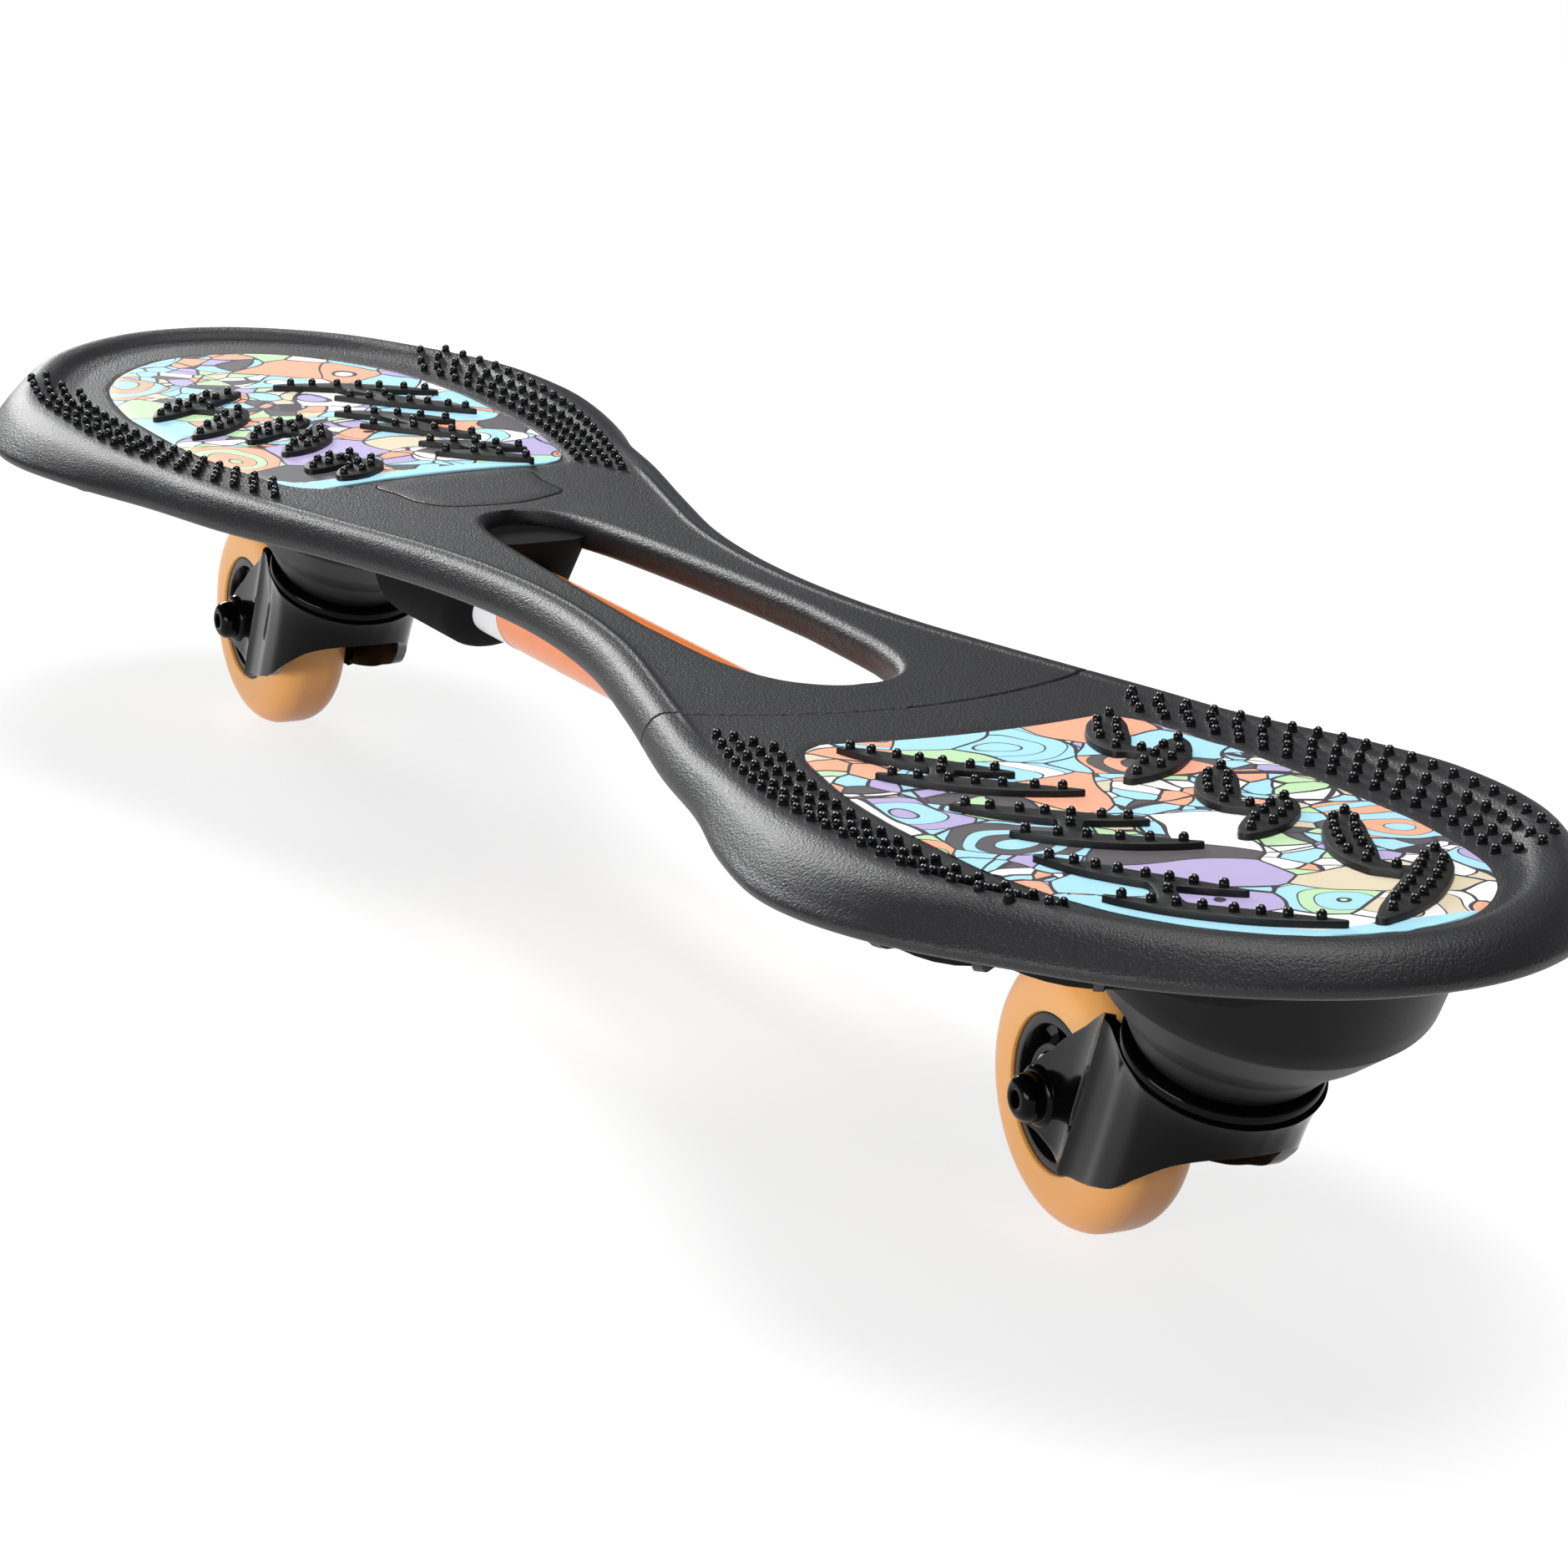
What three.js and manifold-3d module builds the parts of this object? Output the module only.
// A caster board: two leaf-shaped foot decks joined by a waist with a hand opening, which twist against
// each other about a torsion tube, and a raked, freely swivelling caster wheel under each deck.
// Millimetres, +Z up, +X towards the nose, origin on the floor under the middle of the board.
import * as THREE from "three";
import { mergeVertices } from "three/addons/utils/BufferGeometryUtils.js";
import Module from "manifold-3d";

const wasm = await Module();
wasm.setup();

// Driving dimensions of the board
const boardLength = 860;
const boardWidth = 219;
const waistWidth = 94;
const deckHeight = 115.5; // the top of the foot decks above the floor
const waistLift = 1; // the waist stands this much higher than the foot decks
const noseLift = 5; // both tips sweep up
const crestHeight = 2.6; // a low crest runs round each tip, inside its rounded rim
const rimWidth = 26; // the bull-nosed rim where it is broadest
const rimDepth = 24; // how far the rim hangs down there
const shellWall = 4;
const ribThickness = 2.4;
const ribDip = 6; // the ribs hang below the rim by this much
const openingWidth = 50;
const seamSweep = 21; // how far the seam curves back at the edges
const seamReach = 70; // the distance from the twist axis at which it has curved back so far
const seamGap = 1;

// Driving dimensions of the running gear
const wheelDiameter = 76;
const wheelWidth = 26.5;
const treadFlat = 9;
const coreDiameter = 43;
const bearingBore = 8;
const bearingDiameter = 22;
const bearingWidth = 7;
const rakeAngle = Math.PI * 24 / 180;
const swivelOffset = 46; // from the swivel axis to the wheel's centre, square to the axis
const swivelRise = 54; // from the wheel's centre up to the cup's rim, along the axis
const cupDiameter = 53;
const cupDepth = 10.5;
const sheet = 3; // the fork's pressed sheet
const kingpinDiameter = 10;
const tubeDiameter = 27;
const tubeWall = 3;
const tubeDrop = 28; // the torsion tube's axis, which is the twist axis, lies this far below the deck's top
const barDiameter = 9;

// Fits
const clearance = 0.3;
const overrun = 20; // cuts run past the faces they open by this much

// Foot area: plates, stud strips and pads
const plateThickness = 1.5;
const stripThickness = 1.5;
const stripEdge = 2.6; // the strip reaches this far past its outer studs
const studRadius = 2;
const studHeight = 3;
const rowSpacing = 5.5;
const studPitch = 9.8;
const rowBow = 10; // the rows of studs curve in by this much towards their ends
const padThickness = 2.2;
const bladeWidth = 8.5;
const lobeWidth = 12;
const bridgeWidth = 6;
const coverThickness = 1.5;
const coverLength = 47;
const coverHalfWidth = 28;

const halfLength = boardLength / 2;
const halfWidth = boardWidth / 2;
const tubeHeight = deckHeight - tubeDrop;
const plateHalfWidth = halfWidth * 0.571;
const innerRowY = halfWidth * 0.612; // the inner row of studs where it stands furthest out
const rowCrown = halfLength * 0.674; // the distance from the middle at which it does so
const rowReach = halfLength * 0.274;

// Places along the board, which follow its length
const openingRear = -0.27 * halfLength;
const openingFront = 0.305 * halfLength;
const seamX = 0.379 * halfLength; // where the two decks meet on the centre line
const frontWheelX = 0.62 * halfLength;
const rearWheelX = -0.734 * halfLength;
const frontPlateInner = 0.435 * halfLength;
const frontPlateOuter = 0.951 * halfLength;
const rearPlateInner = 0.405 * halfLength;
const rearPlateOuter = 0.902 * halfLength;
const clampRear = -0.423 * halfLength; // the torsion tube's saddle under the rear deck
const clampFront = -0.312 * halfLength;
const socketRear = 0.391 * halfLength; // and its saddle under the front deck
const socketFront = 0.484 * halfLength;
const steps = { outline: 64, round: 24, small: 10 };

const colours = {
  deck: [0x2b2b2d, 0.62],
  stud: [0x0c0c0d, 0.22],
  pad: [0x141415, 0.5],
  graphic: [0xd9cdbb, 0.45],
  tube: [0xe8842c, 0.3],
  steel: [0x9a9ca0, 0.35],
  fork: [0x0b0b0d, 0.12],
  core: [0x0d0d0e, 0.3],
  tyre: [0xf39a3d, 0.3],
};

function material(finish) {
  const [color, roughness] = colours[finish];
  return new THREE.MeshStandardMaterial({ color, roughness, metalness: finish === "steel" ? 1 : 0 });
}

// Reads a table of [station share, value share] pairs, straight between its rows
function lookUp(shares, at) {
  let row = 1;
  while (row < shares.length - 1 && at > shares[row][0]) row += 1;
  const [fromAt, fromValue] = shares[row - 1];
  const [toAt, toValue] = shares[row];
  const t = THREE.MathUtils.clamp((at - fromAt) / (toAt - fromAt), 0, 1);
  return fromValue + (toValue - fromValue) * t;
}

// The board's outline from above, one quarter of it: shares of the half length and the half width
const waistShare = waistWidth / boardWidth;
const quarterShares = [
  [1, 0], [0.993, 0.19], [0.965, 0.4], [0.92, 0.59], [0.85, 0.765], [0.767, 0.935], [0.674, 1],
  [0.581, 0.935], [0.488, 0.82], [0.395, 0.735], [0.27, 0.6], [0.135, 0.474], [0, waistShare],
];
const mirrored = quarterShares.slice(0, -1).reverse();
const loopShares = [
  ...quarterShares,
  ...mirrored.map(([x, y]) => [-x, y]),
  ...quarterShares.slice(1).map(([x, y]) => [-x, -y]),
  ...mirrored.slice(0, -1).map(([x, y]) => [x, -y]),
];
const outlineCurve = new THREE.CatmullRomCurve3(
  loopShares.map(([x, y]) => new THREE.Vector3(x * halfLength, y * halfWidth, 0)), true, "centripetal");
const outline = outlineCurve.getPoints(steps.outline).slice(0, -1);

// The height of the deck's top, which depends only on the distance from the middle
const waistEndShare = 0.4;
const liftStartShare = 0.53;
const liftPower = 1.8;
function topAt(x) {
  const share = Math.abs(x) / halfLength;
  const waist = waistLift * (1 - THREE.MathUtils.smoothstep(share, 0, waistEndShare));
  const tip = Math.max(0, (share - liftStartShare) / (1 - liftStartShare));
  return deckHeight + waist + noseLift * tip ** liftPower;
}

// The rim: its width, depth and crest along the board, and the section that these scale
const rimWidthShares = [
  [0, 0.35], [0.28, 0.35], [0.4, 0.4], [0.49, 0.52], [0.58, 0.78], [0.67, 1], [0.77, 0.8], [0.85, 0.62],
  [1, 0.6],
];
const rimDepthShares = [[0, 0.42], [0.25, 0.42], [0.4, 0.62], [0.51, 0.84], [0.67, 1], [0.85, 1], [1, 0.88]];
const crestShares = [[0, 0.1], [0.45, 0.15], [0.7, 0.35], [0.88, 1], [1, 1]];
const hollowShares = [[0, 0], [0.28, 0], [0.39, 1], [1, 1]];
// [offset from the edge as a share of the rim's width, walls further in, drop share, crest share, hollow share]
const topShares = [
  [1.05, 0, 0, 0], [0.85, 0, 0, 1], [0.55, 0, 0.07, 0.5], [0.25, 0, 0.25, 0],
  [0.08, 0, 0.48, 0], [0, 0, 0.72, 0], [0.04, 0, 0.9, 0], [0.16, 0, 1, 0],
];
const underShares = [[0.16, 1, 0], [0.18, 1, 0.4], [0.3, 1, 0.88], [1.05, 1, 1]];
const rimAt = (x) => rimWidth * lookUp(rimWidthShares, Math.abs(x) / halfLength);
const depthAt = (x) => rimDepth * lookUp(rimDepthShares, Math.abs(x) / halfLength);
const crestAt = (x) => crestHeight * lookUp(crestShares, Math.abs(x) / halfLength);
const hollowAt = (x) => lookUp(hollowShares, Math.abs(x) / halfLength);

// A ring that follows the outline, moved in from the edge, at a drop below the deck's top
function ringAt(offsetOf, dropOf, edges = outline) {
  return edges.map((edge) => {
    const spineX = THREE.MathUtils.clamp(edge.x, halfWidth - halfLength, halfLength - halfWidth);
    const inward = new THREE.Vector3(spineX - edge.x, -edge.y, 0);
    const reach = inward.length();
    const offset = Math.min(offsetOf(edge.x, reach), reach);
    const point = edge.clone().addScaledVector(inward.normalize(), offset);
    point.z = topAt(point.x) - dropOf(offset === reach ? point.x : edge.x);
    return point;
  });
}

// Joins rings of equally many points into one closed surface; the first and last ring close on a line
function loft(rings) {
  const corners = [];
  for (let ring = 0; ring < rings.length - 1; ring += 1) {
    const [inner, outer] = [rings[ring], rings[ring + 1]];
    for (let i = 0; i < inner.length; i += 1) {
      const next = (i + 1) % inner.length;
      corners.push(inner[i], outer[i], outer[next], inner[i], outer[next], inner[next]);
    }
  }
  return new THREE.BufferGeometry().setFromPoints(corners);
}

// Welds corners that all but coincide, and drops the triangles that this closes up
function weld(geometry) {
  const loose = geometry.index ? geometry.toNonIndexed() : geometry;
  const bare = new THREE.BufferGeometry().setAttribute("position", loose.getAttribute("position"));
  const welded = mergeVertices(bare, clearance / 100);
  const kept = [];
  for (let i = 0; i < welded.index.count; i += 3) {
    const [a, b, c] = welded.index.array.slice(i, i + 3);
    if (a !== b && b !== c && c !== a) kept.push(a, b, c);
  }
  return welded.setIndex(kept);
}

// Turns a closed geometry into a solid that can be joined and cut
function solid(geometry) {
  const welded = weld(geometry);
  const vertProperties = welded.getAttribute("position").array;
  const triVerts = new Uint32Array(welded.index.array);
  return new wasm.Manifold(new wasm.Mesh({ numProp: 3, vertProperties, triVerts }));
}

function geometryOf(body) {
  const { vertProperties, triVerts } = body.getMesh();
  const geometry = new THREE.BufferGeometry();
  geometry.setAttribute("position", new THREE.BufferAttribute(vertProperties, 3));
  geometry.setIndex(new THREE.BufferAttribute(triVerts, 1));
  return weld(geometry).toNonIndexed();
}

const board = new THREE.Group();
function place(name, body, finish) {
  const geometry = geometryOf(body);
  geometry.computeVertexNormals();
  const mesh = new THREE.Mesh(geometry, material(finish));
  mesh.name = name;
  board.add(mesh);
}

const join = (bodies) => bodies.reduce((whole, body) => whole.add(body));
const cutAll = (body, cutters) => cutters.reduce((rest, cutter) => rest.subtract(cutter), body);

function block(lengthX, widthY, heightZ, x, y, z) {
  return solid(new THREE.BoxGeometry(lengthX, widthY, heightZ).translate(x, y, z));
}

// A solid of revolution about Z from [radius, height] points; a ring closes on its own first point
function turned(points, segments) {
  const profile = points.map(([radius, height]) => new THREE.Vector2(radius, height));
  if (profile[0].x > 0) profile.push(profile[0].clone());
  return new THREE.LatheGeometry(profile, segments).rotateX(Math.PI / 2);
}
const ring = (inner, outer, low, high, segments) =>
  turned([[inner, low], [outer, low], [outer, high], [inner, high]], segments);
const disc = (radius, low, high, segments) =>
  turned([[0, low], [radius, low], [radius, high], [0, high]], segments);

// Turns a solid of revolution about Z so that its axis lies along X or Y
const alongX = (geometry) => geometry.rotateY(Math.PI / 2);
const alongY = (geometry) => geometry.rotateX(-Math.PI / 2);

// The whole board as one shell, before it is cut into its two mouldings
function boardShell() {
  const offsetOf = ([share, walls]) => (x) => rimAt(x) * share + shellWall * walls;
  const spine = (x, reach) => reach;
  const underDrop = (hollow) => (x) => THREE.MathUtils.lerp(depthAt(x), shellWall, hollow * hollowAt(x));
  const rings = [
    ringAt(spine, () => 0),
    ...topShares.map((row) => ringAt(offsetOf(row), (x) => depthAt(x) * row[2] - crestAt(x) * row[3])),
    ...underShares.map((row) => ringAt(offsetOf(row), underDrop(row[2]))),
    ringAt(spine, underDrop(1)),
  ];
  return solid(loft(rings));
}

// The space that the ribs fill: from inside the shell's wall down to a belly below the rim
function ribSpace() {
  const inset = (rims, walls) => (x) => rimAt(x) * rims + shellWall * walls;
  const spine = (x, reach) => reach;
  const edges = outline.filter((_, i) => i % 2 === 0);
  const rings = [
    ringAt(spine, () => shellWall / 2, edges),
    ringAt(inset(0.6, 1), () => shellWall * 0.75, edges),
    ringAt(inset(0.2, 0.4), (x) => depthAt(x) * 0.6, edges),
    ringAt(inset(0.2, 0.4), (x) => depthAt(x) * 0.94, edges),
    ringAt(inset(0.6, 1), (x) => depthAt(x) + ribDip, edges),
    ringAt(spine, (x) => depthAt(x) + ribDip, edges),
  ];
  return solid(loft(rings));
}

// Crossing diagonal ribs under one foot deck; side is 1 for the front deck and -1 for the rear deck
const ribStartShare = 0.45;
const ribEndShare = 0.89;
const ribCount = 4;
const ribSlant = Math.PI * 52 / 180;
function ribs(side) {
  const plates = [];
  for (let i = 0; i < ribCount; i += 1) {
    const share = THREE.MathUtils.lerp(ribStartShare, ribEndShare, i / (ribCount - 1));
    for (const turn of [ribSlant, -ribSlant]) {
      const plate = new THREE.BoxGeometry(boardWidth * 2, ribThickness, rimDepth * 4);
      plates.push(solid(plate.rotateZ(turn).translate(side * share * halfLength, 0, deckHeight)));
    }
  }
  const reach = halfLength - Math.abs(seamX) - overrun;
  const bay = block(reach, boardWidth, rimDepth * 4, side * (halfLength - reach / 2), 0, deckHeight);
  return join(plates).intersect(ribSpace()).intersect(bay);
}

// The hand opening from above, as shares of its length and its half width
const openingShares = [
  [0, 0.12], [0.03, 0.36], [0.08, 0.56], [0.16, 0.7], [0.28, 0.82], [0.47, 0.94], [0.64, 1], [0.8, 0.97],
  [0.9, 0.86], [0.955, 0.64], [0.985, 0.36], [1, 0],
];
function handOpening() {
  const shape = new THREE.Shape();
  const length = openingFront - openingRear;
  const points = openingShares.map(([x, y]) => [openingRear + x * length, y * openingWidth / 2]);
  const far = points.slice(0, -1).reverse();
  shape.setFromPoints([
    ...points.map(([x, y]) => new THREE.Vector2(x, -y)), ...far.map(([x, y]) => new THREE.Vector2(x, y))]);
  const height = rimDepth + overrun;
  const geometry = new THREE.ExtrudeGeometry(shape, { depth: height, bevelEnabled: false });
  return solid(geometry.translate(0, 0, deckHeight - rimDepth));
}

// Everything nose-side of the seam, a surface of revolution about the twist axis
function noseSide(shift) {
  const reach = boardWidth * 0.6;
  const bow = (radius) => seamX + shift - seamSweep * (radius / seamReach) ** 2;
  const curve = [0, 0.2, 0.35, 0.5, 0.65, 0.8, 1].map((share) => [share * reach, bow(share * reach)]);
  const back = halfLength + overrun;
  return solid(turned([...curve, [reach, back], [0, back]], steps.round * 2).rotateY(Math.PI / 2)
    .translate(0, 0, tubeHeight));
}

// Patches follow the deck's top: a ladder of stations along the board, each with two edges
function patch(stations, above, below) {
  const rungs = stations.map(([x, low, high]) => [
    new THREE.Vector3(x, low, topAt(x) + above), new THREE.Vector3(x, high, topAt(x) + above),
    new THREE.Vector3(x, high, topAt(x) - below), new THREE.Vector3(x, low, topAt(x) - below)]);
  const sides = loft(rungs).getAttribute("position");
  const corners = Array.from({ length: sides.count }, (_, i) =>
    new THREE.Vector3().fromBufferAttribute(sides, i));
  const [a, b, c, d] = rungs[0];
  const [e, f, g, h] = rungs[rungs.length - 1];
  corners.push(a, b, c, a, c, d, e, g, f, e, h, g);
  return solid(new THREE.BufferGeometry().setFromPoints(corners));
}

// The graphic plate's half width along its length, as shares
const plateShares = [
  [0, 0.68], [0.02, 0.78], [0.06, 0.85], [0.14, 0.91], [0.26, 0.975], [0.4, 1], [0.55, 1], [0.68, 0.95],
  [0.78, 0.87], [0.87, 0.72], [0.93, 0.55], [0.97, 0.38], [0.992, 0.2], [1, 0.08],
];
const plateEnds = (side) => side > 0 ? [frontPlateInner, frontPlateOuter] : [rearPlateInner, rearPlateOuter];
function plateStations(side, grow) {
  const [inner, outer] = plateEnds(side);
  const rows = plateShares.map(([along, half], i) => {
    const step = i === 0 ? -grow : i === plateShares.length - 1 ? grow : 0;
    const x = side * (THREE.MathUtils.lerp(inner, outer, along) + step);
    const y = half * plateHalfWidth + grow;
    return [x, -y, y];
  });
  return side > 0 ? rows : rows.reverse();
}

// Stud rows: the inner row is a shallow bow, and the others stand outside it at even spacing
const rowShares = [[0.433, 0.823], [0.419, 0.833], [0.402, 0.842], [0.393, 0.828]];
const rowEndsAt = rowShares.map(([start, end]) => [start * halfLength, end * halfLength]);
const rowY = (at, row) => innerRowY - rowBow * ((at - rowCrown) / rowReach) ** 2 + row * rowSpacing;
const stripStart = Math.min(...rowEndsAt.map(([start]) => start)) - stripEdge;
const stripEnd = Math.max(...rowEndsAt.map(([, end]) => end)) + stripEdge;
const stripStationCount = 6;
function stripStations(side, hand, grow) {
  const stations = [];
  for (let i = 0; i < stripStationCount; i += 1) {
    const share = i / (stripStationCount - 1);
    const end = i === 0 ? -grow : i === stripStationCount - 1 ? grow : 0;
    const at = THREE.MathUtils.lerp(stripStart, stripEnd, share) + end;
    const low = rowY(at, 0) - stripEdge - grow;
    const high = rowY(at, rowShares.length - 1) + stripEdge + grow;
    stations.push(hand > 0 ? [side * at, low, high] : [side * at, -high, -low]);
  }
  return side > 0 ? stations : stations.reverse();
}

// A small three-sided stud that stands on the surface at x, y, its foot sunk below the surface to be joined
function stud(x, y, base) {
  const foot = studRadius / 2;
  const height = studHeight + foot;
  const geometry = new THREE.ConeGeometry(studRadius * 1.25, height, 3).rotateX(Math.PI / 2);
  return solid(geometry.translate(x, y, topAt(x) + base + height / 2 - foot));
}

function studStrip(side, hand) {
  const base = patch(stripStations(side, hand, 0), 0, stripThickness);
  const studs = [];
  rowEndsAt.forEach(([start, end], row) => {
    const count = Math.round((end - start) / studPitch);
    for (let i = 0; i <= count; i += 1) {
      const at = THREE.MathUtils.lerp(start, end, i / count);
      studs.push(stud(side * at, hand * rowY(at, row), 0));
    }
  });
  return join([base, ...studs]);
}

// Pads: flat outlines laid on the plate and bent to follow it, with studs in rows
function padBody(points, studPlaces) {
  const shape = new THREE.Shape(points.map(([x, y]) => new THREE.Vector2(x, y)));
  const geometry = new THREE.ExtrudeGeometry(shape, { depth: padThickness, bevelEnabled: false });
  const position = geometry.getAttribute("position");
  for (let i = 0; i < position.count; i += 1) {
    position.setZ(i, position.getZ(i) + topAt(position.getX(i)) + clearance);
  }
  const top = padThickness + clearance;
  return join([solid(geometry), ...studPlaces.map(([x, y]) => stud(x, y, top))]);
}

// A leaf from its tail to its tip, as shares of its length and of half its width. It bows to one side by a
// share of its length
const bladeLeafShares = [[0, 0.12], [0.1, 0.6], [0.3, 1], [0.6, 0.95], [0.85, 0.5], [1, 0.12]];
const lobeLeafShares = [[0, 0.12], [0.12, 0.6], [0.34, 0.95], [0.6, 1], [0.84, 0.75], [1, 0.25]];
const leafStudShares = [0.1, 0.26, 0.42, 0.58, 0.74, 0.9];
function leafPlace([[fromX, fromY], [toX, toY]], bowShare, share, side) {
  const along = new THREE.Vector2(toX - fromX, toY - fromY);
  const across = new THREE.Vector2(-along.y, along.x).normalize();
  const aside = side + bowShare * along.length() * 4 * share * (1 - share);
  return [fromX + along.x * share + across.x * aside, fromY + along.y * share + across.y * aside];
}
function leaf(ends, width, leafShares, bowShare) {
  const edge = (hand) => leafShares.map(([share, half]) =>
    leafPlace(ends, bowShare, share, hand * half * width / 2));
  const studs = leafStudShares.map((share) => leafPlace(ends, bowShare, share, 0));
  return padBody([...edge(-1), ...edge(1).reverse()], studs);
}

// A strip that bridges the gap between two places, one on each leaf of a pair
function bridge([fromX, fromY], [toX, toY]) {
  const { x, y } = new THREE.Vector2(fromY - toY, toX - fromX).normalize().multiplyScalar(bridgeWidth / 2);
  return padBody([[fromX - x, fromY - y], [toX - x, toY - y], [toX + x, toY + y], [fromX + x, fromY + y]], []);
}

// Two parallel blades, bowed alike
const bladeBowShare = -0.05;
const bladeBridgeShares = [0.62, 0.34];
function bladePad(first, second) {
  const [a, b] = bladeBridgeShares;
  return join([
    leaf(first, bladeWidth, bladeLeafShares, bladeBowShare),
    leaf(second, bladeWidth, bladeLeafShares, bladeBowShare),
    bridge(leafPlace(first, bladeBowShare, a, 0), leafPlace(second, bladeBowShare, b, 0)),
  ]);
}

// Two broader lobes, bowed apart, with a neck between the round end of the first and the middle of the second
const lobeBowShare = 0.05;
const chevronNeckShares = [0.88, 0.42];
function chevronPad(first, second) {
  const [a, b] = chevronNeckShares;
  return join([
    leaf(first, lobeWidth, lobeLeafShares, -lobeBowShare),
    leaf(second, lobeWidth, lobeLeafShares, lobeBowShare),
    bridge(leafPlace(first, -lobeBowShare, a, 0), leafPlace(second, lobeBowShare, b, 0)),
  ]);
}

// Places of the pads, as shares along the plate and across its half width: two leaves, tail to tip, for each
const frontBladeShares = [
  [[[0.045, -0.672], [0.234, -0.176]], [[0.171, -0.72], [0.338, -0.048]]],
  [[[0.329, -0.672], [0.486, -0.048]], [[0.464, -0.656], [0.599, -0.032]]],
  [[[0.568, -0.752], [0.806, -0.272]], [[0.752, -0.816], [0.964, -0.176]]],
];
const rearBladeShares = [
  [[[0.112, 0.688], [0.22, 0.208]], [[0.033, 0.608], [0.14, 0.192]]],
  [[[0.355, 0.624], [0.481, 0.08]], [[0.229, 0.592], [0.383, 0.096]]],
  [[[0.579, 0.848], [0.706, 0.016]], [[0.421, 0.848], [0.598, 0.24]]],
];
const frontChevronShares = [
  [[[0.027, 0.704], [0.198, 0.4]], [[0.162, 0.768], [0.311, 0.208]]],
  [[[0.302, 0.688], [0.468, 0.352]], [[0.455, 0.656], [0.586, 0.176]]],
  [[[0.536, 0.768], [0.779, 0.352]], [[0.721, 0.768], [0.968, -0.048]]],
];
const rearChevronShares = [
  [[[0.014, -0.528], [0.121, -0.192]], [[0.075, -0.608], [0.168, -0.224]]],
  [[[0.21, -0.576], [0.369, -0.144]], [[0.318, -0.624], [0.444, -0.128]]],
  [[[0.383, -0.864], [0.561, -0.368]], [[0.533, -0.896], [0.678, -0.224]]],
];
function onPlate(side, [along, across]) {
  const [inner, outer] = plateEnds(side);
  return [side * THREE.MathUtils.lerp(inner, outer, along), across * plateHalfWidth];
}

// The scoop cover closes the rear deck between its plate and the opening
const coverShares = [[0, 1], [0.35, 0.96], [0.65, 0.84], [0.85, 0.66], [0.96, 0.4], [1, 0.15]];
function coverStations(grow) {
  const start = clearance * 3 - rearPlateInner;
  return coverShares.map(([along, half], i) => {
    const step = i === 0 ? -grow : i === coverShares.length - 1 ? grow : 0;
    const y = half * coverHalfWidth + grow;
    return [start + along * coverLength + step, -y, y];
  });
}

// Casters: built about a swivel axis through the origin, the cup's rim at height 0, then raked and placed
const cupRadius = cupDiameter / 2;
const wheelRadius = wheelDiameter / 2;
const axleRadius = (bearingBore - clearance) / 2;
const boreRadius = (bearingBore + clearance) / 2;
const cheekInner = wheelWidth / 2 + sheet * 0.3;
const cheekOuter = cheekInner + sheet;
const screwRadius = 2;
const screwLength = 14;
const screwY = 34;
const bossDepth = 12;

// The housing's cone, from the cup up to the deck, as [cup radii, fork sheets up]
const housingShares = [[0.89, 0], [1, 0.5], [1.22, 3], [1.62, 6], [1.88, 10], [1.95, 24]];

// A point on the swivel axis above the wheel, and what turns and moves a part made about that axis
function swivel(wheelX) {
  const up = new THREE.Vector3(Math.sin(rakeAngle), 0, Math.cos(rakeAngle));
  const forward = new THREE.Vector3(Math.cos(rakeAngle), 0, -Math.sin(rakeAngle));
  const cup = new THREE.Vector3(wheelX, 0, wheelRadius);
  cup.addScaledVector(up, swivelRise).addScaledVector(forward, swivelOffset);
  const set = (geometry) => solid(geometry.rotateY(rakeAngle).translate(cup.x, cup.y, cup.z));
  const atWheel = (geometry) => solid(geometry.translate(wheelX, 0, wheelRadius));
  return { cup, set, atWheel };
}

// Heights on the swivel axis, from the housing down to the cap
const housingLow = sheet;
const floorLow = sheet * 1.2 - cupDepth;
const floorHigh = floorLow + sheet;
const pinRadius = kingpinDiameter / 2;
const pinHeadRadius = pinRadius * 2.4;
const pinHeadDepth = 4;
const lowerRaceDepth = 3.5;
const pinHeadHigh = floorLow - lowerRaceDepth - clearance * 2;
const pinTop = housingLow + 8 * sheet;
const capLow = pinHeadHigh - pinHeadDepth - clearance - sheet / 2;

function housingCone(wheelX, grow) {
  const { set } = swivel(wheelX);
  const profile = housingShares.map(([radii, sheets]) =>
    [radii * cupRadius + grow, housingLow + sheets * sheet]);
  const top = profile[profile.length - 1][1];
  return set(turned([[0, housingLow - grow], [profile[0][0], housingLow - grow], ...profile.slice(1), [0, top]],
    steps.round));
}

// Screws hold the housing to bosses under the deck, one on each side of the kingpin
function housingScrews(wheelX) {
  const { cup } = swivel(wheelX);
  const x = cup.x + sheet * 4;
  const bossLow = topAt(x) - shellWall - bossDepth;
  const seat = bossLow - screwRadius * 3;
  return [-screwY, screwY].map((y) => {
    const at = (geometry) => solid(geometry.translate(x, y, seat));
    return {
      screw: join([
        at(disc(screwRadius, -screwRadius / 2, screwLength, 8)),
        at(disc(screwRadius * 2, -screwRadius * 1.5, 0, 8))]),
      bore: at(disc(screwRadius + clearance, -overrun, screwLength + clearance, 8)),
      counterbore: at(disc(screwRadius * 2 + clearance, -overrun, clearance, 12)),
      boss: at(disc(screwRadius * 3, seatGap(x, seat), topAt(x) - shellWall / 2 - seat, 12)),
      bossRoom: at(disc(screwRadius * 3 + clearance, seatGap(x, seat) - clearance, overrun * 2, 12)),
    };
  });
}
const seatGap = (x, seat) => topAt(x) - shellWall - bossDepth - seat;

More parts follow.
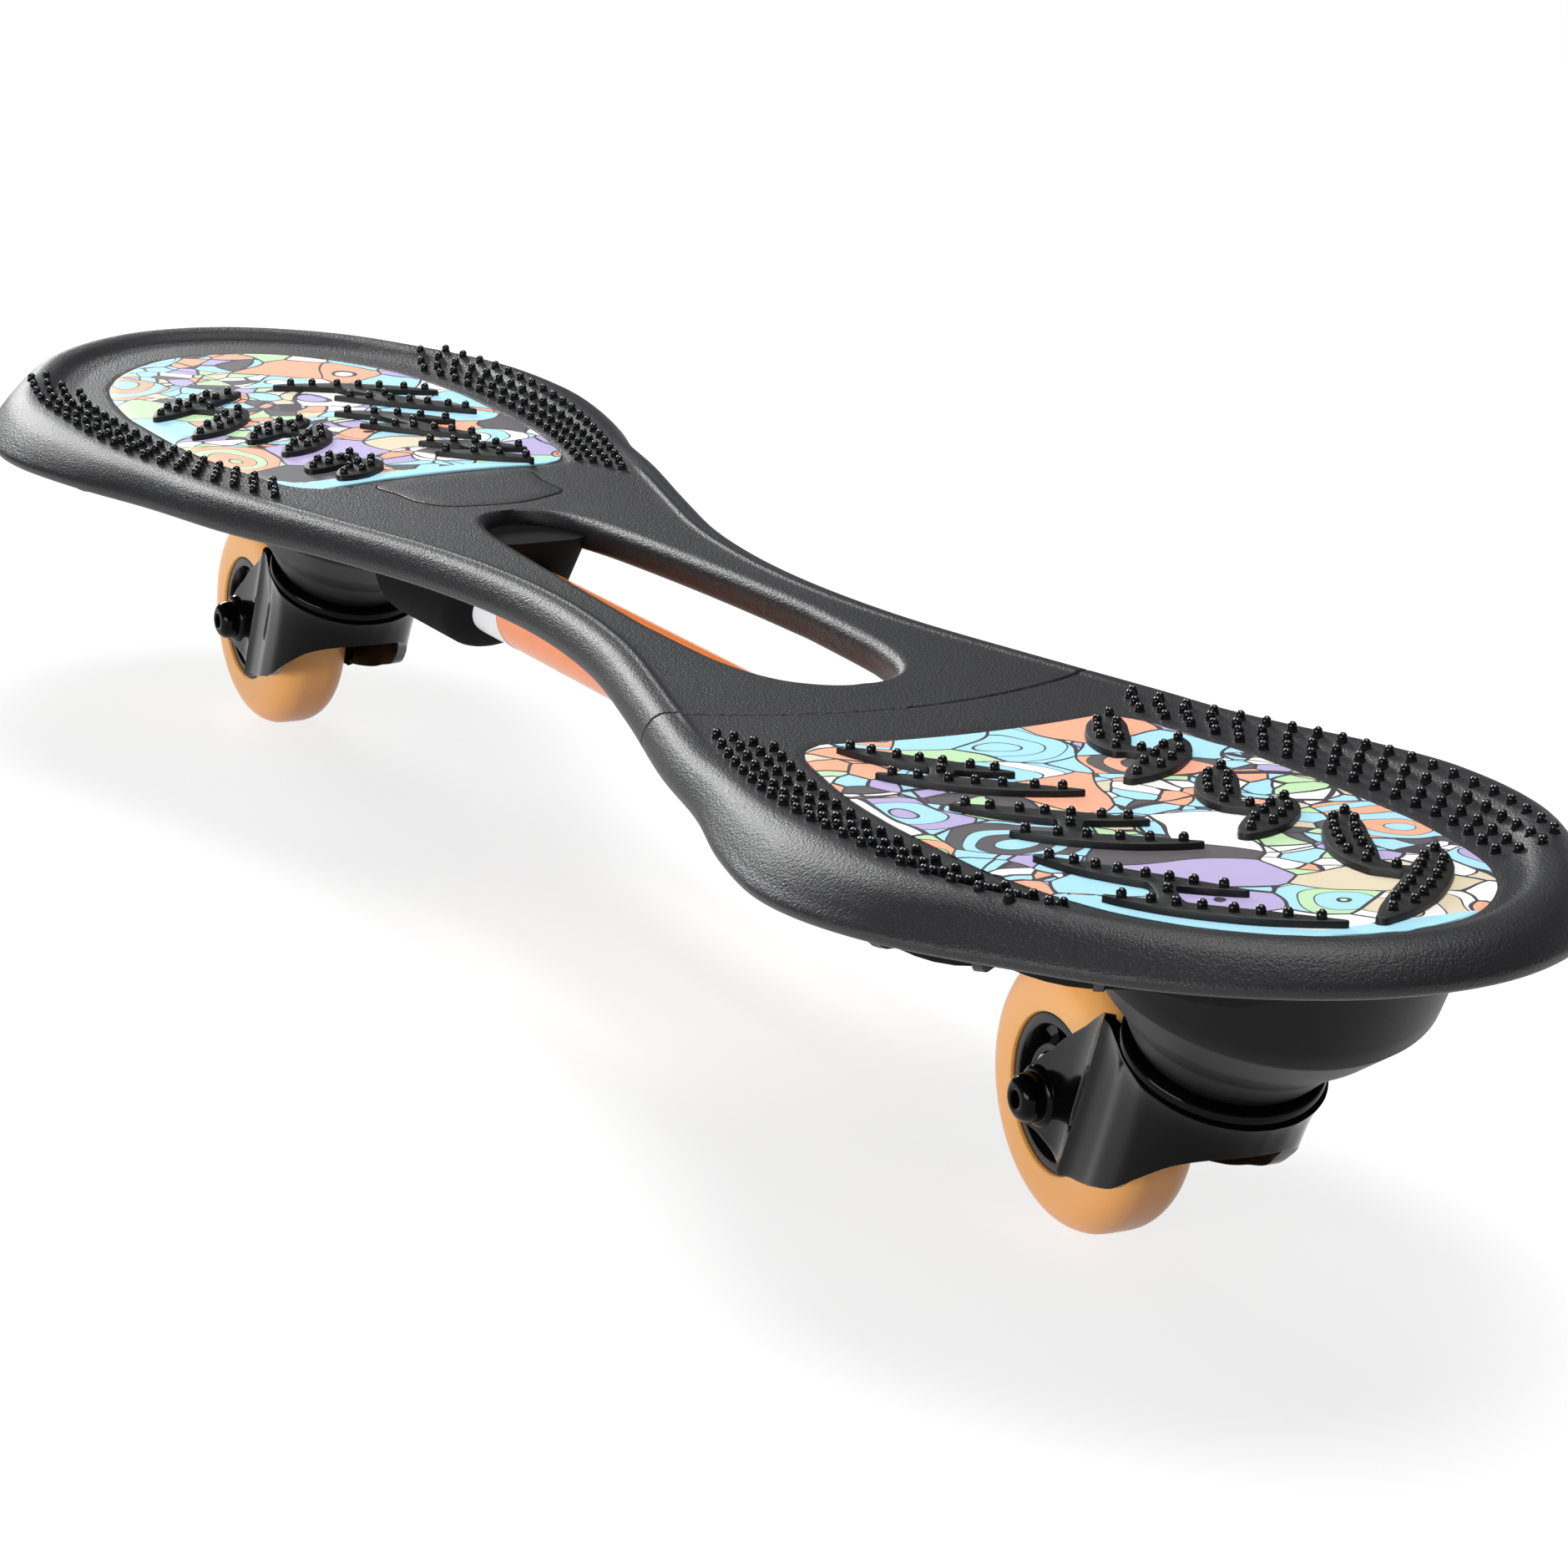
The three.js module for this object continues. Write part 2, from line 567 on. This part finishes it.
function caster(wheelX, prefix, side) {
  const { cup, set, atWheel } = swivel(wheelX);
  const gap = clearance;
  const sunk = shellWall + gap;
  const reach = [side * (halfLength - overrun), side * (halfLength / 2 - overrun)].sort((a, b) => a - b);
  const under = [0, 0.2, 0.4, 0.6, 0.8, 1].map((share) =>
    [THREE.MathUtils.lerp(reach[0], reach[1], share), -halfWidth, halfWidth]);
  const screws = housingScrews(wheelX);
  const pinBore = set(disc(pinRadius + gap, housingLow - overrun, pinTop + gap, steps.small));
  const housing = housingCone(wheelX, 0).intersect(patch(under, -sunk, deckHeight));
  place(prefix + "_caster_housing", cutAll(housing,
    [pinBore, ...screws.flatMap(({ bore, counterbore, bossRoom }) => [bore, counterbore, bossRoom])]), "deck");
  screws.forEach(({ screw }, i) => place(prefix + "_housing_screw_" + (i + 1), screw, "steel"));

  place(prefix + "_kingpin", join([
    set(disc(pinRadius, pinHeadHigh - pinHeadDepth / 2, pinTop, steps.small)),
    set(disc(pinHeadRadius, pinHeadHigh - pinHeadDepth, pinHeadHigh, 6))]), "steel");
  place(prefix + "_upper_bearing", set(ring(pinRadius + gap, cupRadius - sheet * 1.6, floorHigh + gap,
    housingLow - gap, steps.small)), "steel");
  place(prefix + "_lower_bearing", set(ring(pinRadius + gap, pinHeadRadius, pinHeadHigh + gap, floorLow - gap,
    steps.small)), "steel");
  const capRadius = cupRadius * 0.86 - sheet - gap * 2;
  place(prefix + "_kingpin_cap", set(turned([
    [0, capLow], [capRadius - sheet / 2, capLow], [capRadius, capLow + sheet / 2], [capRadius, floorLow - gap],
    [capRadius - sheet / 2, floorLow - gap], [capRadius - sheet / 2, capLow + sheet / 2],
    [0, capLow + sheet / 2]], steps.round)), "fork");

  // Fork: the cup, a rounded web ahead of the wheel and two cheeks that carry the axle
  const ridgeX = cup.x - cupRadius * 0.78;
  const ridgeY = cupRadius * 0.86;
  const webRadius = cupRadius * 0.94;
  const tailX = wheelX - sheet * 8;
  const wrap = (inset) => {
    const shape = new THREE.Shape();
    const rear = tailX - (inset > 0 ? overrun : 0);
    shape.moveTo(rear, inset - cheekOuter);
    shape.lineTo(wheelX + bearingBore, inset - cheekOuter);
    shape.lineTo(ridgeX, inset - ridgeY);
    shape.lineTo(cup.x, inset - webRadius);
    shape.absarc(cup.x, 0, webRadius - inset, -Math.PI / 2, Math.PI / 2, false);
    shape.lineTo(ridgeX, ridgeY - inset);
    shape.lineTo(wheelX + bearingBore, cheekOuter - inset);
    shape.lineTo(rear, cheekOuter - inset);
    const height = wheelDiameter + overrun;
    return solid(new THREE.ExtrudeGeometry(shape, { depth: height, bevelEnabled: false, curveSegments: 8 }));
  };
  // The fork's side view from the wheel's centre, as shares of the wheel's radius
  const sideShares = [
    [-0.33, -0.1], [-0.2, -0.24], [0.06, -0.3], [0.3, -0.34], [0.49, -0.42], [0.86, -0.38], [1.35, -0.21],
    [1.88, 0.1], [2.25, 0.25], [2.5, 0.6], [2.4, 1.3], [1.04, 1.3], [0.98, 1], [0.64, 0.63], [0.3, 0.42],
    [0, 0.26], [-0.25, 0.06],
  ];
  const view = new THREE.Shape(sideShares.map(([x, z]) => new THREE.Vector2(x * wheelRadius, z * wheelRadius)));
  const slab = new THREE.ExtrudeGeometry(view, { depth: cupDiameter * 2, bevelEnabled: false });
  const profile = atWheel(slab.rotateX(Math.PI / 2).translate(0, cupDiameter, 0));
  const belowRim = set(disc(cupRadius * 3, -cupDiameter * 2, -sheet * 1.1, steps.small));
  const inCup = set(disc(cupRadius - sheet / 2, -cupDepth * 1.1, overrun, steps.round));
  const web = wrap(0).subtract(wrap(sheet)).intersect(profile).intersect(belowRim).subtract(inCup);
  const cupBody = set(turned([
    [pinRadius + gap, floorLow], [cupRadius - sheet, floorLow], [cupRadius - sheet, -cupDepth],
    [cupRadius, -cupDepth], [cupRadius, 0], [cupRadius - sheet, 0], [cupRadius - sheet, floorHigh],
    [pinRadius + gap, floorHigh]], steps.round));
  const axleBore = atWheel(alongY(disc(boreRadius, -cupDiameter, cupDiameter, steps.small)));
  const wheelRoom = atWheel(alongY(disc(wheelRadius + sheet, -cheekInner, cheekInner, steps.round)));
  place(prefix + "_fork", cutAll(join([web, cupBody]), [axleBore, wheelRoom]), "fork");

  // Axle: a domed bolt through both cheeks and a nut on its far end
  const headRadius = bearingBore * 0.85;
  const headHeight = bearingBore * 0.8;
  const seat = -cheekOuter - gap;
  const boltEnd = cheekOuter + gap + headHeight + gap;
  const socket = atWheel(alongY(disc(axleRadius * 0.7, seat - overrun, seat - headHeight / 2, 6)));
  const bolt = atWheel(alongY(turned([
    [0, seat - headHeight], [headRadius * 0.6, seat - headHeight], [headRadius * 0.92, seat - headHeight * 0.6],
    [headRadius, seat - headHeight * 0.2], [headRadius, seat], [axleRadius, seat], [axleRadius, boltEnd],
    [0, boltEnd]], steps.small)));
  place(prefix + "_axle_bolt", bolt.subtract(socket), "fork");
  const nut = atWheel(alongY(disc(headRadius, cheekOuter + gap, cheekOuter + gap + headHeight, 6)));
  place(prefix + "_axle_nut", nut.subtract(axleBore), "steel");
}

// Wheel: a crowned tyre on a spoked core, two ball bearings and the spacer between them
const windowCount = 5;
const windowShare = 0.72;
const tyreShares = [[0.82, 0.97], [0.95, 0.74]];
function wheel(wheelX, prefix) {
  const { atWheel } = swivel(wheelX);
  const gap = clearance;
  const coreRadius = coreDiameter / 2;
  const half = wheelWidth / 2;
  const flank = [
    [coreRadius + gap, half], ...tyreShares.map(([radius, share]) => [radius * wheelRadius, share * half])];
  const nearFlank = flank.map(([radius, y]) => [radius, -y]);
  place(prefix + "_tyre", atWheel(alongY(turned([
    ...nearFlank, [wheelRadius, -treadFlat / 2], [wheelRadius, treadFlat / 2], ...flank.slice().reverse()],
    steps.round))), "tyre");

  // Core: a band and a hub joined by spokes, with a shoulder between the seats of the bearings
  const seatRadius = bearingDiameter / 2 + gap;
  const hubRadius = seatRadius + sheet * 0.8;
  const bandInner = coreRadius * 0.87;
  const shape = new THREE.Shape().absarc(0, 0, coreRadius, 0, 2 * Math.PI, false);
  shape.holes.push(new THREE.Path().absarc(0, 0, bearingBore, 0, 2 * Math.PI, true));
  const pitch = 2 * Math.PI / windowCount;
  for (let i = 0; i < windowCount; i += 1) {
    const [from, to] = [i * pitch, (i + windowShare) * pitch];
    shape.holes.push(new THREE.Path().absarc(0, 0, bandInner, from, to, false)
      .absarc(0, 0, hubRadius, to, from, true));
  }
  const coreHalf = half - gap;
  const drum = new THREE.ExtrudeGeometry(shape, { depth: coreHalf * 2, bevelEnabled: false, curveSegments: 4 });
  const seatLow = coreHalf - bearingWidth - gap;
  const seats = [[-coreHalf - gap, -seatLow], [seatLow, coreHalf + gap]].map(([low, high]) =>
    atWheel(alongY(disc(seatRadius, low, high, steps.small))));
  place(prefix + "_core", cutAll(atWheel(alongY(drum.translate(0, 0, -coreHalf))), seats), "core");
  const bearing = (name, low) => place(prefix + name, atWheel(alongY(
    ring(boreRadius, bearingDiameter / 2, low, low + bearingWidth, steps.small))), "steel");
  bearing("_bearing_near", -coreHalf);
  bearing("_bearing_far", coreHalf - bearingWidth);
  place(prefix + "_spacer", atWheel(alongY(ring(boreRadius, boreRadius + sheet / 2, -seatLow + gap,
    seatLow - gap, steps.small))), "steel");
}

// Torsion tube: clamped in the rear deck's saddle, and turning in a bush in the front deck's saddle
const socketWall = 4.5;
const bushWall = 2.5;
const saddleWidth = 26;
const flangeWidth = 62;
const flangeThickness = 5;
const ceilingAt = (x) => topAt(x) - THREE.MathUtils.lerp(depthAt(x), shellWall, hollowAt(x));

// Screws hold a saddle's flange up against the deck, one on each side of the tube
function saddleScrews(x) {
  const ceiling = ceilingAt(x);
  return [-1, 1].map((hand) => {
    const y = hand * (flangeWidth / 2 - screwRadius * 3);
    const at = (geometry) => solid(geometry.translate(x, y, ceiling - flangeThickness));
    const tip = flangeThickness + screwRadius * 1.3;
    return {
      screw: join([
        at(disc(screwRadius, -screwRadius, tip, 8)),
        at(disc(screwRadius * 2, -screwRadius * 1.5, -clearance, 8))]),
      bore: at(disc(screwRadius + clearance, -overrun, tip + clearance, 8)),
    };
  });
}

function tubeSaddle(name, from, to, innerRadius, deck, screws) {
  const mid = (from + to) / 2;
  const length = to - from;
  const outer = innerRadius + socketWall;
  const aboutX = (geometry) => solid(alongX(geometry).translate(0, 0, tubeHeight));
  const high = deckHeight - shellWall * 0.7;
  const low = ceilingAt(mid) - flangeThickness;
  const neck = block(length, saddleWidth, high - tubeHeight, mid, 0, (high + tubeHeight) / 2);
  const flange = block(length, flangeWidth, high - low, mid, 0, (high + low) / 2);
  const cup = aboutX(disc(outer, from, to, steps.round));
  const closedEnd = from < 0 ? from + socketWall : to - socketWall;
  const openEnd = from < 0 ? to + overrun : from - overrun;
  const [start, end] = [closedEnd, openEnd].sort((a, b) => a - b);
  const hollow = aboutX(disc(innerRadius, start, end, steps.round));
  const barHole = aboutX(disc(barDiameter / 2 + clearance, from - overrun, to + overrun, steps.small));
  const body = cutAll(join([neck, flange, cup]), [hollow, barHole, deck, deck.translate([0, 0, -clearance])]);
  place(name, cutAll(body, screws.map(({ bore }) => bore)), "deck");
}

// The two deck mouldings, with recesses for what is let into them; side is 1 for the front deck
const saddleMargin = 9;
function deckShell(side, wheelX) {
  const whole = boardShell();
  const nose = noseSide(side * seamGap / 2);
  const half = side > 0 ? whole.intersect(nose) : whole.subtract(nose);
  const screws = housingScrews(wheelX);
  const from = side > 0 ? socketRear : clampRear;
  const to = side > 0 ? socketFront : clampFront;
  const [roomLength, roomWidth] = [to - from + saddleMargin * 2, flangeWidth + saddleMargin * 2];
  const room = block(roomLength, roomWidth, rimDepth * 4, (from + to) / 2, 0, deckHeight);
  const net = cutAll(ribs(side), [housingCone(wheelX, clearance), room]);
  const recess = plateThickness + clearance;
  const cutters = [
    patch(plateStations(side, clearance), overrun, recess),
    patch(stripStations(side, 1, clearance), overrun, stripThickness + clearance),
    patch(stripStations(side, -1, clearance), overrun, stripThickness + clearance),
    ...screws.map(({ bore }) => bore),
  ];
  if (side < 0) {
    cutters.push(handOpening(), patch(coverStations(clearance), overrun, coverThickness + clearance));
  }
  return cutAll(join([half, net, ...screws.map(({ boss }) => boss)]), cutters);
}

function dressDeck(side, prefix, bladeShares, chevronShares) {
  place(prefix + "_graphic_plate", patch(plateStations(side, 0), 0, plateThickness), "graphic");
  place(prefix + "_stud_strip_near", studStrip(side, -1), "stud");
  place(prefix + "_stud_strip_far", studStrip(side, 1), "stud");
  const leavesOf = (pair) => pair.map((ends) => ends.map((shares) => onPlate(side, shares)));
  bladeShares.forEach((pair, i) => place(prefix + "_blade_pad_" + (i + 1), bladePad(...leavesOf(pair)), "pad"));
  chevronShares.forEach((pair, i) =>
    place(prefix + "_chevron_pad_" + (i + 1), chevronPad(...leavesOf(pair)), "pad"));
}

const tubeRadius = tubeDiameter / 2;
const bushInner = tubeRadius + clearance;
const bushOuter = bushInner + bushWall;
const rearScrews = saddleScrews(clampFront - screwRadius * 6);
const frontScrews = saddleScrews(socketRear + screwRadius * 3);
const rearDeck = deckShell(-1, rearWheelX);
const frontDeck = deckShell(1, frontWheelX);
const boresOf = (screws) => screws.map(({ bore }) => bore);
place("rear_deck_shell", cutAll(rearDeck, boresOf(rearScrews)), "deck");
place("front_deck_shell", cutAll(frontDeck, boresOf(frontScrews)), "deck");
dressDeck(-1, "rear", rearBladeShares, rearChevronShares);
dressDeck(1, "front", frontBladeShares, frontChevronShares);
place("scoop_cover", patch(coverStations(0), 0, coverThickness), "deck");

tubeSaddle("rear_tube_clamp", clampRear, clampFront, tubeRadius + clearance, rearDeck, rearScrews);
tubeSaddle("front_tube_socket", socketRear, socketFront, bushOuter + clearance, frontDeck, frontScrews);
rearScrews.forEach(({ screw }, i) => place("rear_clamp_screw_" + (i + 1), screw, "steel"));
frontScrews.forEach(({ screw }, i) => place("front_socket_screw_" + (i + 1), screw, "steel"));
const tubeStart = clampRear + socketWall + clearance;
const tubeEnd = socketFront - socketWall - clearance;
const onTwistAxis = (geometry) => solid(alongX(geometry).translate(0, 0, tubeHeight));
place("front_tube_bush", onTwistAxis(ring(bushInner, bushOuter, socketRear, tubeEnd, steps.round)), "core");
const tube = ring(tubeRadius - tubeWall, tubeRadius, tubeStart, tubeEnd, steps.round);
const bar = disc(barDiameter / 2, clampRear - sheet, socketFront + sheet, steps.small);
place("torsion_tube", onTwistAxis(tube), "tube");
place("torsion_bar", onTwistAxis(bar), "steel");

caster(frontWheelX, "front", 1);
caster(rearWheelX, "rear", -1);
wheel(frontWheelX, "front_wheel");
wheel(rearWheelX, "rear_wheel");

export default board;
